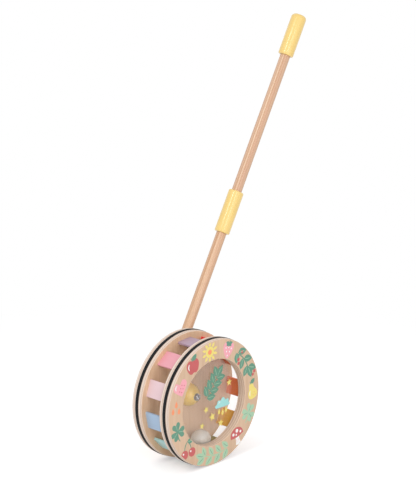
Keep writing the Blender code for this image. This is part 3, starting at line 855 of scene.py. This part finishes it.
def moved(outline, degrees=0.0, across=0.0, up=0.0, size=1.0):
    """An outline made larger or smaller, turned anticlockwise and then moved."""
    cosine, sine = math.cos(math.radians(degrees)), math.sin(math.radians(degrees))
    places = []
    for point in outline:
        right, high = point[0] * size, point[1] * size
        places.append((across + right * cosine - high * sine, up + right * sine + high * cosine,
                       *point[2:]))
    return places


def mirrored(half):
    """An outline that is the same on both sides, from its right half."""
    return half + [(-across, *rest) for across, *rest in half[::-1] if across]


def leaf(length, half_width, degrees, across, up):
    """A pointed oval leaf that grows from its place, upwards before it is turned."""
    outline = mirrored([(0.0, 0.0, 1), (half_width * 0.86, length * 0.30),
                        (half_width * 0.82, length * 0.62), (0.0, length, 1)])
    return moved(outline, degrees, across, up)


def leaves(*shapes):
    """Several leaves."""
    return [leaf(*shape) for shape in shapes]


def stroke(places, half_width):
    """A line of the brush through some places, thinner at both ends."""
    left, right = [], []
    for number, (across, up) in enumerate(places):
        before = places[max(0, number - 1)]
        after = places[min(len(places) - 1, number + 1)]
        run = math.hypot(after[0] - before[0], after[1] - before[1])
        aside = (-(after[1] - before[1]) / run, (after[0] - before[0]) / run)
        ends = number in (0, len(places) - 1)
        half = half_width * (STROKE_END if ends else 1.0)
        corner = (1,) if ends else ()
        left.append((across + aside[0] * half, up + aside[1] * half, *corner))
        right.append((across - aside[0] * half, up - aside[1] * half, *corner))
    return left + right[::-1]


def star(outer, inner, points=5):
    """A plain pointed star."""
    outline = []
    for number in range(2 * points):
        turn = math.radians(90 + number * 180 / points)
        radius = inner if number % 2 else outer
        outline.append((radius * math.cos(turn), radius * math.sin(turn), 1))
    return outline


HEART = mirrored([(0.0, -7.6, 1), (5.2, -2.6), (8.2, 2.6), (5.0, 6.8), (0.0, 3.6, 1)])
DROP = mirrored([(0.0, 3.4, 1), (1.5, 0.4), (1.6, -1.4), (0.0, -2.8)])
PEAR = mirrored([(0.0, 8.4), (2.6, 7.0), (3.6, 2.8), (6.4, -2.2), (5.4, -7.4), (0.0, -9.2)])
APPLE = mirrored([(0.0, 5.6, 1), (4.2, 6.8), (8.0, 3.4), (7.2, -3.0), (3.6, -7.2),
                  (0.0, -6.4, 1)])
BERRY = mirrored([(0.0, 6.4), (4.4, 6.6), (7.0, 3.4), (6.0, -1.6), (3.2, -6.4), (0.0, -9.0)])
SEED = mirrored([(0.0, 1.1, 1), (0.6, 0.0), (0.4, -0.8)])
CAP = [(-9.0, 0.0, 1), (-7.6, 5.0), (-3.8, 8.0), (0.0, 8.8), (3.8, 8.0), (7.6, 5.0),
       (9.0, 0.0, 1), (0.0, -1.3)]
STALK = [(-2.3, -0.6, 1), (-2.6, -5.0), (-3.5, -8.4, 1), (0.0, -9.1), (3.5, -8.4, 1),
         (2.6, -5.0), (2.3, -0.6, 1)]
CLOUD = [(-9.2, -3.6, 1), (-10.8, -1.2), (-8.0, 0.8, 1), (-6.6, 4.0), (-2.6, 3.8, 1),
         (0.6, 6.6), (4.4, 3.2, 1), (8.2, 3.4), (9.0, -0.2, 1), (10.6, -2.2), (8.8, -3.6, 1)]


def drops(size, *places):
    """Drops of one size that point upwards."""
    return [moved(DROP, 0, across, up, size) for across, up in places]


def clover(ink, vein_ink, bend, foot, vein, side_vein):
    """Three leaves, each shaped like a heart with its point at the middle, a bent stalk and a
    vein on each leaf."""
    shapes = [moved(moved(HEART, up=7.2), degrees, size=0.62) for degrees in (0, 118, -118)]
    shapes.append(stroke([(0.0, -0.6), (bend, -5.6), (foot, -10.2)], BROAD_BRUSH))
    across, up = side_vein
    veins = [stroke([(0.0, 1.4), (0.0, vein)], LINE_BRUSH),
             stroke([(-1.2, -0.7), (-across, up)], LINE_BRUSH),
             stroke([(1.2, -0.7), (across, up)], LINE_BRUSH)]
    return (ink, shapes, 1), (vein_ink, veins, 2)


def sun_rays(count=10):
    """Short drops that point away from a sun."""
    return [moved(moved(DROP, up=8.6, size=0.86), number * 360 / count)
            for number in range(count)]


def bent(outlines):
    """Bend outlines round the ring: across becomes the way round, up stays outwards."""
    shapes = []
    for outline in outlines:
        places = []
        for point in outline:
            turn = point[0] / RING_MIDDLE
            reach = RING_MIDDLE + point[1]
            places.append((reach * math.sin(turn), reach * math.cos(turn) - RING_MIDDLE,
                           *point[2:]))
        shapes.append(places)
    return shapes


def sprig(length, pairs, leaf_length, half_width, open_degrees=50):
    """A stem that grows to the right, with leaves in pairs and one at its tip: the stem and
    leaves, and the veins that are drawn on the leaves."""
    step = (length - 1.3 * leaf_length) / (pairs - 1)
    tip = length / 2 - leaf_length
    green = [stroke([(-length / 2, -1.2), (-length / 4, 0.5), (0.0, 0.4), (tip, 0.0)],
                    STEM_BRUSH),
             leaf(leaf_length, half_width, -90, tip - 0.6, 0.0)]
    veins = [stroke([(tip, 0.0), (tip + leaf_length * 0.34, 0.2), (tip + leaf_length * 0.7, 0.0)],
                    VEIN_BRUSH)]
    for number in range(pairs):
        foot = tip - 0.12 * leaf_length - (pairs - 1 - number) * step
        for side in (1, -1):
            place = foot - (0.0 if side > 0 else 0.18 * step)
            turn = -90 + side * open_degrees
            vein = stroke([(0.0, 1.6), (0.2 * side, leaf_length * 0.4),
                           (0.0, leaf_length * 0.74)], VEIN_BRUSH)
            green.append(leaf(leaf_length, half_width, turn, place, side * 0.3))
            veins.append(moved(vein, turn, place, side * 0.3))
    return green, veins


MINT_LEAVES, MINT_VEINS = sprig(50.0, 4, 12.6, 3.5)
BERRY_LEAVES, BERRY_VEINS = sprig(40.0, 3, 12.4, 3.9)
FERN_LEAVES, FERN_VEINS = sprig(45.0, 4, 14.6, 4.4, 54)
BERRIES = [dot(1.9, -12.6, -4.6), dot(1.9, -8.9, -7.4), dot(1.7, -13.6, 4.2), dot(1.8, 15.6, 6.2),
           dot(1.6, 17.8, 3.0)]

# Motifs of the print: ink, outlines and layer, in millimetres round the motif's middle
SUN = (("yellow", [dot(5.9)] + sun_rays(), 1), ("orange", [dot(2.7)], 2))
PINK_HEART = (
    ("pink", [HEART], 1),
    ("white", [stroke([(-5.6, 0.6), (-5.4, 3.2), (-3.4, 4.9)], STEM_BRUSH)], 2),
    ("red", dots(0.5, (2.2, 2.4), (4.6, 1.0), (2.6, -1.2), (0.2, 0.2), (-1.8, -2.0),
                 (0.4, -3.8)), 2))
BERRY_SPRIG = (("dark_green", bent(BERRY_LEAVES), 1), ("mint", bent(BERRY_VEINS), 2),
               ("red", bent(BERRIES), 2))
YELLOW_PEAR = (
    ("yellow", [PEAR], 1),
    ("dark_green", [leaf(7.2, 2.6, -62, 0.2, 8.0),
                    stroke([(0.0, 7.2), (-0.6, 10.6)], BROAD_BRUSH)], 2),
    ("white", [stroke([(-4.2, -4.6), (-4.0, -1.8), (-2.4, 0.9)], STEM_BRUSH)], 2),
    ("orange", dots(0.5, (2.6, -3.0), (0.6, -5.4), (3.4, -6.0)), 2))
MINT_CLOVER = clover("mint", "dark_green", 1.3, 0.2, 6.4, (5.4, -3.0))
GREEN_CLOVER = clover("dark_green", "mint", -1.3, -0.4, 6.8, (5.8, -3.2))
TOADSTOOL = (
    ("white", [STALK], 1),
    ("red", [CAP], 2),
    ("white", [dot(1.5, -4.4, 3.4), dot(1.8, 1.0, 5.2), dot(1.3, 5.4, 2.4),
               dot(1.0, -0.8, 1.6)], 3),
    ("pink", [stroke([(-1.2, -3.4), (-1.4, -6.6)], LINE_BRUSH),
              stroke([(0.8, -2.8), (1.2, -5.8)], LINE_BRUSH)], 2))
MINT_SPRIG = (("mint", bent(MINT_LEAVES), 1), ("dark_green", bent(MINT_VEINS), 2))
CHERRIES = (
    ("red", dots(5.2, (-5.4, -4.2), (5.8, -5.2)), 1),
    ("dark_green", [stroke([(-5.0, 0.6), (-3.0, 5.2), (1.0, 9.6)], STEM_BRUSH),
                    stroke([(5.4, -0.4), (4.2, 5.0), (1.2, 9.6)], STEM_BRUSH),
                    leaf(10.4, 3.3, -98, 0.8, 9.4)], 2),
    ("white", dots(1.1, (-7.2, -2.4), (4.0, -3.4)), 2),
    ("mint", [moved(stroke([(0.0, 1.4), (0.2, 4.2), (0.0, 7.8)], VEIN_BRUSH), -98, 0.8, 9.4)],
     3))
DROPS = (("orange", drops(1.1, (-4.2, -1.4), (0.4, 4.6), (4.2, -2.8)), 1),)
RED_APPLE = (
    ("red", [APPLE], 1),
    ("dark_green", [leaf(8.2, 2.9, -56, 0.2, 5.8),
                    stroke([(0.0, 5.0), (-0.7, 9.0)], BROAD_BRUSH)], 2),
    ("white", [stroke([(-5.4, -2.2), (-5.7, 1.2), (-4.2, 3.8)], BROAD_BRUSH)], 2))
STRAWBERRY = (
    ("pink", [BERRY], 1),
    ("white", [moved(SEED, *place) for place in (
        (8, -3.4, 1.2), (-6, 0.4, 1.8), (-10, 4.0, 0.8), (4, -1.8, -2.2), (-6, 2.2, -2.2),
        (0, 0.0, -6.0))], 2),
    ("dark_green", leaves((5.0, 1.7, 74, 0.3, 5.4), (5.0, 1.7, -74, -0.3, 5.4),
                          (4.6, 1.7, 128, 0.3, 6.0), (4.6, 1.7, -128, -0.3, 6.0),
                          (4.4, 1.6, 180, 0.0, 6.6))
     + [stroke([(0.0, 5.4), (0.9, 9.4)], BROAD_BRUSH)], 3))
YELLOW_STAR = (("yellow", [star(6.0, 2.5)], 1),)
RAIN_CLOUD = (
    ("sky", [CLOUD], 1),
    ("white", [stroke([(-5.6, 1.0), (-4.6, 2.2), (-3.2, 2.3)], SHINE_BRUSH)], 2),
    ("yellow", drops(1.0, (-5.0, -7.6), (0.2, -9.4), (5.2, -7.4)), 1))
BIG_FERN = (("dark_green", FERN_LEAVES, 1), ("mint", FERN_VEINS, 2))

# Where each motif sits on the ring: name, motif, degrees round the axle, its own turn and size.
# A sprig's own turn is counted from the way round the ring.
RING_PRINTS = (
    ("sun", SUN, 97, 0, 1.12),
    ("strawberry", STRAWBERRY, 69, -14, 1.22),
    ("berry_sprig", BERRY_SPRIG, 34, 34 - 90, 1.12),
    ("pear", YELLOW_PEAR, -1, 14, 1.14),
    ("clover_mint", MINT_CLOVER, -25, -26, 1.25),
    ("toadstool", TOADSTOOL, -53, 14, 1.22),
    ("mint_sprig", MINT_SPRIG, -94, -94 - 90, 1.14),
    ("cherries", CHERRIES, -134, 10, 1.06),
    ("clover_green", GREEN_CLOVER, -162, 20, 1.26),
    ("drops", DROPS, 173, 0, 1.15),
    ("heart", PINK_HEART, 151, 14, 1.32),
    ("apple", RED_APPLE, 124, 12, 1.2),
)
# On the window: name, motif, across and up from the axle, its own turn and size
WINDOW_PRINTS = (
    ("fern", BIG_FERN, 12.0, 20.0, 52, 1.0),
    ("rain_cloud", RAIN_CLOUD, 25.0, -10.0, 0, 1.15),
    ("star_1", YELLOW_STAR, 8.0, -22.0, 12, 0.95),
    ("star_2", YELLOW_STAR, 22.0, -33.0, -10, 0.85),
    ("star_3", YELLOW_STAR, -2.0, -11.0, 20, 0.75),
    ("star_4", YELLOW_STAR, 36.0, 13.0, 0, 0.8),
    ("star_5", YELLOW_STAR, -9.0, -29.0, -16, 0.7),
)


def make_prints():
    """The generic garden print: fruit, leaves, a heart and stars, laid on in layers of ink."""
    ring_area = print_area("ring_print_area", HOLE_RADIUS + HOLE_EDGE_ROUND,
                           WHEEL_RADIUS - WHEEL_EDGE_ROUND, PRINTED_FACE)
    window_area = print_area("window_print_area", 0.0, WINDOW_PRINT_RADIUS, WINDOW_FRONT)
    for name, motif, degrees, turn, size in RING_PRINTS:
        across = RING_MIDDLE * math.cos(math.radians(degrees))
        up = RING_MIDDLE * math.sin(math.radians(degrees))
        for number, (ink, outlines, layer) in enumerate(motif, 1):
            printed(f"print_{name}_{number}", ink, outlines,
                    (across, up, turn, size, PRINTED_FACE), layer, ring_area)
    for name, motif, across, up, turn, size in WINDOW_PRINTS:
        for number, (ink, outlines, layer) in enumerate(motif, 1):
            printed(f"window_print_{name}_{number}", ink, outlines,
                    (across, up, turn, size, WINDOW_FRONT), layer, window_area)
    bpy.data.objects.remove(ring_area)
    bpy.data.objects.remove(window_area)


def seen_ray(tree):
    """1 where the eye looks, straight or by way of metal or glass, and 0 for rays that light."""
    path = node(tree, "ShaderNodeLightPath").outputs
    direct = node(tree, "ShaderNodeMath", {0: path["Is Camera Ray"], 1: path["Is Glossy Ray"]},
                  operation="MAXIMUM")
    return node(tree, "ShaderNodeMath", {0: direct, 1: path["Is Transmission Ray"]},
                operation="MAXIMUM")


def make_floor():
    """Plain pale floor: it lights the toy from below, and looks white but for the shadow."""
    bpy.ops.object.select_all(action="DESELECT")
    bpy.ops.mesh.primitive_plane_add(size=FLOOR_SIZE, location=(0.0, 0.0, 0.0))
    floor = rename(bpy.context.object, "floor")
    material, tree, place = new_material("pale_studio_floor")
    paper = node(tree, "ShaderNodeBsdfDiffuse", {"Color": grey(FLOOR_PAPER)})
    glow = node(tree, "ShaderNodeEmission", {"Color": linear("FDFCFF"), "Strength": FLOOR_GLOW})
    near = node(tree, "ShaderNodeAddShader", {0: paper, 1: glow})
    white = node(tree, "ShaderNodeEmission", {"Color": grey(1.0), "Strength": 1.0})
    reach = node(tree, "ShaderNodeVectorMath", {0: place}, operation="LENGTH")
    fade = node(tree, "ShaderNodeMapRange", {
        "Value": reach, "From Min": FLOOR_FADE[0], "From Max": FLOOR_FADE[1]},
        interpolation_type="SMOOTHSTEP")
    seen = node(tree, "ShaderNodeMixShader", {0: fade, 1: near, 2: white})
    surface = node(tree, "ShaderNodeMixShader", {0: seen_ray(tree), 1: paper, 2: seen})
    dress(floor, finished(material, surface))


def make_light():
    """Plain studio light: a white room, a large weak panel before the toy, and two narrow strips,
    which draw the bright lines on the lacquer."""
    world = bpy.data.worlds.new("white_room")
    bpy.context.scene.world = world
    world.use_nodes = True
    tree = world.node_tree
    tree.nodes.clear()
    room = node(tree, "ShaderNodeBackground", {"Color": grey(1.0), "Strength": WORLD_LIGHT})
    white = node(tree, "ShaderNodeBackground", {"Color": grey(1.0), "Strength": 1.0})
    mix = node(tree, "ShaderNodeMixShader", {0: seen_ray(tree), 1: room, 2: white})
    node(tree, "ShaderNodeOutputWorld", {"Surface": mix})
    for name, place, size, power in LAMPS:
        bpy.ops.object.light_add(type="AREA", location=place)
        lamp = bpy.context.object
        lamp.name = name
        lamp.data.shape = "RECTANGLE"
        lamp.data.size, lamp.data.size_y = size
        lamp.data.energy = power
        aim = Vector(LAMP_AIM) - Vector(place)
        lamp.rotation_euler = aim.to_track_quat("-Z", "Y").to_euler()


def make_camera():
    """Camera at the photograph's angle, with a long lens."""
    bpy.ops.object.camera_add(location=CAMERA_PLACE)
    camera = bpy.context.object
    camera.name = "photo_camera"
    camera.rotation_euler = [math.radians(turn) for turn in CAMERA_TURN_DEGREES]
    camera.data.lens = CAMERA_LENS
    bpy.context.scene.camera = camera


bpy.ops.object.select_all(action="DESELECT")
make_camera()
make_light()
make_floor()
make_wheels()
make_bands()
make_slats()
make_dome()
make_nut()
make_ball()
make_stick()
make_hub_back()
make_prints()
clear_window()
bpy.context.scene.view_settings.view_transform = "Standard"
